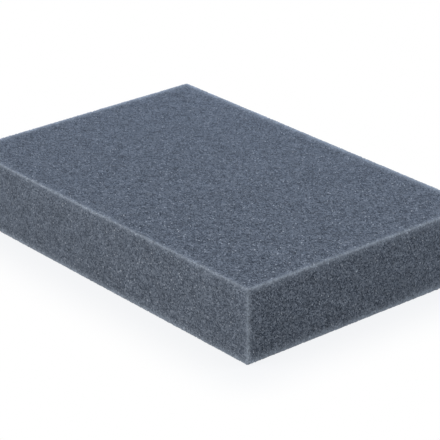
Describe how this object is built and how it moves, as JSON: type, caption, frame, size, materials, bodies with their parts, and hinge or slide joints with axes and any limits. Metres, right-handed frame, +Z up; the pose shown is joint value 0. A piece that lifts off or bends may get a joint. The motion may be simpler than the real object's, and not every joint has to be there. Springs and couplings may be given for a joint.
{
  "type": "foam block",
  "caption": "Flat rectangular block of soft open-cell foam with plain sawn faces and slightly eased edges, for padding, packing or propping on a bench or desk.",
  "frame": {"origin": "middle of the underside", "axes": "+X along the length, +Y across the width, +Z up through the thickness"},
  "size_m": [0.15, 0.1, 0.0263],
  "materials": {
    "foam": "matte"
  },
  "bodies": {
    "root": {"foam_block": "foam"}
  },
  "joints": []
}
